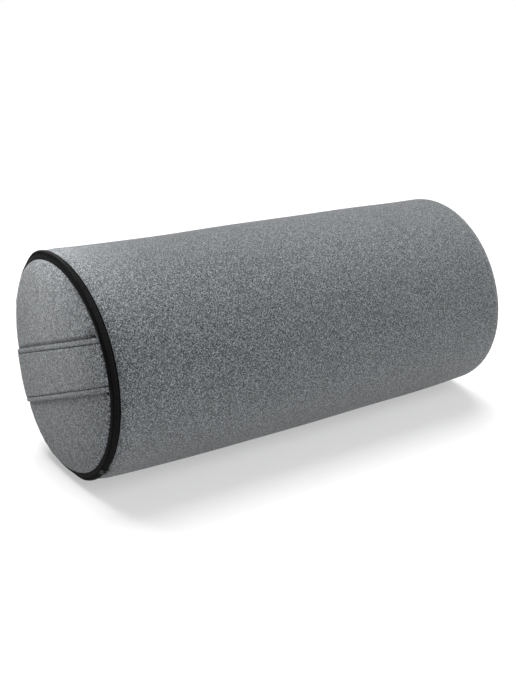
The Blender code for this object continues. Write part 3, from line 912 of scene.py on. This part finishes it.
def make_strap():
    """The strap's skin: closed loops across it, from end to end."""
    fine = [-1.0, -0.985, -0.94, -0.88, -0.845, -0.825, -0.812, -0.80, -0.788, -0.775, -0.755, -0.72]
    across = np.array(fine + list(np.linspace(-0.66, 0.66, 23)) + [-v for v in reversed(fine)])
    angles = np.linspace(-STRAP_END, STRAP_END, STRAP_STEPS + 1)
    half = strap_half_width(angles)[:, None]
    height = across[None, :] * half
    angle = np.repeat(angles[:, None], len(across), axis=1)
    from_edge = half - np.abs(height)
    groove = STITCH_GROOVE * np.exp(-(((from_edge - HEM_WIDTH) / STITCH_GROOVE_HALF_WIDTH) ** 2))
    rounded = np.sqrt(np.clip(1 - (1 - np.clip(from_edge / STRAP_EDGE, 0, 1)) ** 2, 0.0, 1.0))
    place = np.stack([angle * NEAR_RIM_RADIUS, height, 0 * height], axis=-1)
    waves = STRAP_RIPPLE * rough(place, STRAP_RIPPLE_SIZE, 7.7)
    waves += STRAP_WAVE * rough(place * [1, 0.4, 1], STRAP_WAVE_SIZE, 2.9)
    top = STRAP_THICKNESS / 2 * (1 + rounded) - groove + waves * rounded
    under = STRAP_THICKNESS / 2 * (1 - rounded)
    loops_lift = np.concatenate([top, under[:, -2:0:-1]], axis=1)
    loops_height = np.concatenate([height, height[:, -2:0:-1]], axis=1)
    loops_angle = np.concatenate([angle, angle[:, -2:0:-1]], axis=1)
    return skin("carry_strap_cloth", settled(*strap_surface(loops_angle, loops_height, loops_lift)))


def strap_grain(tree, spot):
    """Threads along the strap and across it."""
    level = tree.put(
        "ShaderNodeVectorRotate",
        [("Vector", spot), ("Angle", -STRAP_TILT), ("Center", (0.0, AXIS_Y, AXIS_HEIGHT))],
        rotation_type="X_AXIS",
    )
    parts = tree.put("ShaderNodeSeparateXYZ", [(0, level.outputs[0])]).outputs
    return parts["Y"], parts["Z"]


strap = make_strap()
strap.data.materials.append(make_cloth("melange cloth, strap", strap_grain, coarser=END_CLOTH_COARSER))
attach(strap, "root")
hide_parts("carry_strap")

# The strap's stitching: a row of charcoal thread along each hem. It draws a groove into the strap,
# and each stitch sinks into the cloth at both ends.
STITCH_PITCH = 0.0031
STITCH_LENGTH = 0.0025
STITCH_RADIUS = 0.00042
STITCH_SIDES = 6


def make_stitches():
    """Both rows of stitches as one mesh of small bent capsules."""
    points, faces = [], []
    steps = np.linspace(-1.0, 1.0, 7)
    turn = np.linspace(0.0, 2 * math.pi, STITCH_SIDES, endpoint=False)
    count = int(2 * STRAP_END * NEAR_RIM_RADIUS / STITCH_PITCH) - 1
    for side in (-1, 1):
        for i in range(count):
            middle = (i - (count - 1) / 2) * STITCH_PITCH / NEAR_RIM_RADIUS
            angle = middle + steps * STITCH_LENGTH / 2 / NEAR_RIM_RADIUS
            height = side * (strap_half_width(angle) - HEM_WIDTH)
            sink = STRAP_THICKNESS - STITCH_GROOVE * 0.75 - 0.0004 * steps**4
            line = settled(*strap_surface(angle, height, sink))
            above = settled(*strap_surface(angle, height, sink + 0.001)) - line
            above /= np.linalg.norm(above, axis=1, keepdims=True)
            ahead = np.gradient(line, axis=0)
            beside = np.cross(ahead, above)
            beside /= np.linalg.norm(beside, axis=1, keepdims=True)
            size = STITCH_RADIUS * np.sqrt(np.clip(1 - np.abs(steps) ** 6, 0.02, 1.0))
            rings = line[:, None] + size[:, None, None] * (
                above[:, None] * np.cos(turn)[None, :, None] + beside[:, None] * np.sin(turn)[None, :, None]
            )
            base = len(points)
            points += rings.reshape(-1, 3).tolist()
            for row in range(len(steps) - 1):
                for k in range(STITCH_SIDES):
                    a = base + row * STITCH_SIDES + k
                    b = base + row * STITCH_SIDES + (k + 1) % STITCH_SIDES
                    faces.append([a, b, b + STITCH_SIDES, a + STITCH_SIDES])
            faces.append([base + k for k in range(STITCH_SIDES)])
            last = base + (len(steps) - 1) * STITCH_SIDES
            faces.append([last + k for k in reversed(range(STITCH_SIDES))])
    mesh = bpy.data.meshes.new("carry_strap_stitches")
    mesh.from_pydata(points, [], faces)
    work = bmesh.new()
    work.from_mesh(mesh)
    bmesh.ops.recalc_face_normals(work, faces=work.faces)
    work.to_mesh(mesh)
    work.free()
    mesh.shade_smooth()
    piece = bpy.data.objects.new("carry_strap_stitches", mesh)
    bpy.context.scene.collection.objects.link(piece)
    return piece


def make_sewing_thread():
    """Charcoal polyester thread, its plies as fine slanting ridges."""
    material, tree, shader = new_material("charcoal sewing thread", 0.6, 0.15)
    spot = tree.put("ShaderNodeTexCoord").outputs["Object"]
    plies = tree.put("ShaderNodeTexWave", [("Vector", spot), ("Scale", 700.0), ("Distortion", 0.5)])
    colour = tree.blend(plies.outputs["Fac"], (0.008, 0.008, 0.009, 1.0), (0.022, 0.023, 0.024, 1.0))
    relief = tree.put(
        "ShaderNodeBump", [("Strength", 0.5), ("Distance", 0.0001), ("Height", plies.outputs["Fac"])]
    )
    tree.tree.links.new(colour, shader["Base Color"])
    tree.tree.links.new(relief.outputs[0], shader["Normal"])
    return material


stitches = make_stitches()
stitches.data.materials.append(make_sewing_thread())
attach(stitches, "root")


# The studio: a wide pale floor lit a little from below, a pale surround, a big soft light overhead
# from behind, a weaker one in front and a small one beside the zip end. The camera stands at the
# photograph's angle.
FLOOR_SIZE = 400.0
FLOOR_PALE = (0.46, 0.46, 0.46, 1.0)
FLOOR_GLOW = 0.90
SKY_STRENGTH = 0.32
HORIZON_STRENGTH = 1.0
HORIZON_RISE = 0.15
LIGHTS = (
    ("top light", (0.21, 0.37, 0.91), 50, 4.5),
    ("front light", (0.26, -0.75, 0.60), 50, 1.65),
)
END_LIGHT_PLACE = (-0.375, 0.01, 0.39)
END_LIGHT_AIM = (-0.35, 0.00, 0.05)
END_LIGHT_SIZE = 0.08
END_LIGHT_SPREAD = math.radians(110)
END_LIGHT_POWER = 0.25

floor_mesh = bpy.data.meshes.new("studio_floor")
work = bmesh.new()
bmesh.ops.create_grid(work, x_segments=1, y_segments=1, size=FLOOR_SIZE / 2)
work.to_mesh(floor_mesh)
work.free()
studio_floor = bpy.data.objects.new("studio_floor", floor_mesh)
studio_floor.location.z = -0.0002
bpy.context.scene.collection.objects.link(studio_floor)
floor_paint, _, floor_shader = new_material("pale floor", 0.9, 0.1)
floor_shader["Base Color"].default_value = FLOOR_PALE
floor_shader["Emission Color"].default_value = FLOOR_PALE
floor_shader["Emission Strength"].default_value = FLOOR_GLOW
floor_mesh.materials.append(floor_paint)

surround = bpy.data.worlds.new("pale surround")
surround.use_nodes = True
sky = Tree(surround.node_tree)
direction = sky.put("ShaderNodeTexCoord").outputs["Generated"]
rise = sky.put("ShaderNodeSeparateXYZ", [(0, direction)]).outputs["Z"]
glow = sky.put(
    "ShaderNodeMapRange",
    [("Value", rise), ("From Min", 0.0), ("From Max", HORIZON_RISE),
     ("To Min", HORIZON_STRENGTH), ("To Max", SKY_STRENGTH)],
    interpolation_type="SMOOTHSTEP",
)
surround.node_tree.nodes["Background"].inputs["Color"].default_value = (1.0, 1.0, 1.0, 1.0)
surround.node_tree.links.new(
    glow.outputs[0], surround.node_tree.nodes["Background"].inputs["Strength"]
)
bpy.context.scene.world = surround
bpy.context.scene.view_settings.view_transform = "Standard"

for label, way, spread, strength in LIGHTS:
    lamp = bpy.data.lights.new(label, "SUN")
    lamp.angle = math.radians(spread)
    lamp.energy = strength
    light = bpy.data.objects.new(label, lamp)
    light.rotation_euler = Vector(way).to_track_quat("Z", "Y").to_euler()
    bpy.context.scene.collection.objects.link(light)

lamp = bpy.data.lights.new("end light", "AREA")
lamp.size = END_LIGHT_SIZE
lamp.spread = END_LIGHT_SPREAD
lamp.energy = END_LIGHT_POWER
light = bpy.data.objects.new("end light", lamp)
light.location = END_LIGHT_PLACE
shine = Vector(END_LIGHT_PLACE) - Vector(END_LIGHT_AIM)
light.rotation_euler = shine.to_track_quat("Z", "Y").to_euler()
light.visible_camera = False
bpy.context.scene.collection.objects.link(light)

PHOTO_HEIGHT_PX = 688
FOCAL_PX = 985.0
CAMERA_DISTANCE = 9.45 * RADIUS
CAMERA_PITCH = math.radians(17.90)
CAMERA_YAW = math.radians(35.09)
AIM_LENGTH = 4.345 * RADIUS
AIM_HEIGHT = 0.97 * HEIGHT_SHARE * RADIUS
FRAME_SHIFT_PX = (14.2, -18.92)

camera_data = bpy.data.cameras.new("camera")
camera_data.sensor_width = 36.0
camera_data.lens = FOCAL_PX * camera_data.sensor_width / PHOTO_HEIGHT_PX
camera_data.shift_x = -FRAME_SHIFT_PX[0] / PHOTO_HEIGHT_PX
camera_data.shift_y = FRAME_SHIFT_PX[1] / PHOTO_HEIGHT_PX
camera = bpy.data.objects.new("camera", camera_data)
back = Vector((
    -math.sin(CAMERA_YAW) * math.cos(CAMERA_PITCH),
    -math.cos(CAMERA_YAW) * math.cos(CAMERA_PITCH),
    math.sin(CAMERA_PITCH),
))
aim = Vector((START_X + AIM_LENGTH / 2, AXIS_Y, AIM_HEIGHT))
camera.location = aim + back * CAMERA_DISTANCE
camera.rotation_euler = (-back).to_track_quat("-Z", "Y").to_euler()
bpy.context.scene.collection.objects.link(camera)
bpy.context.scene.camera = camera
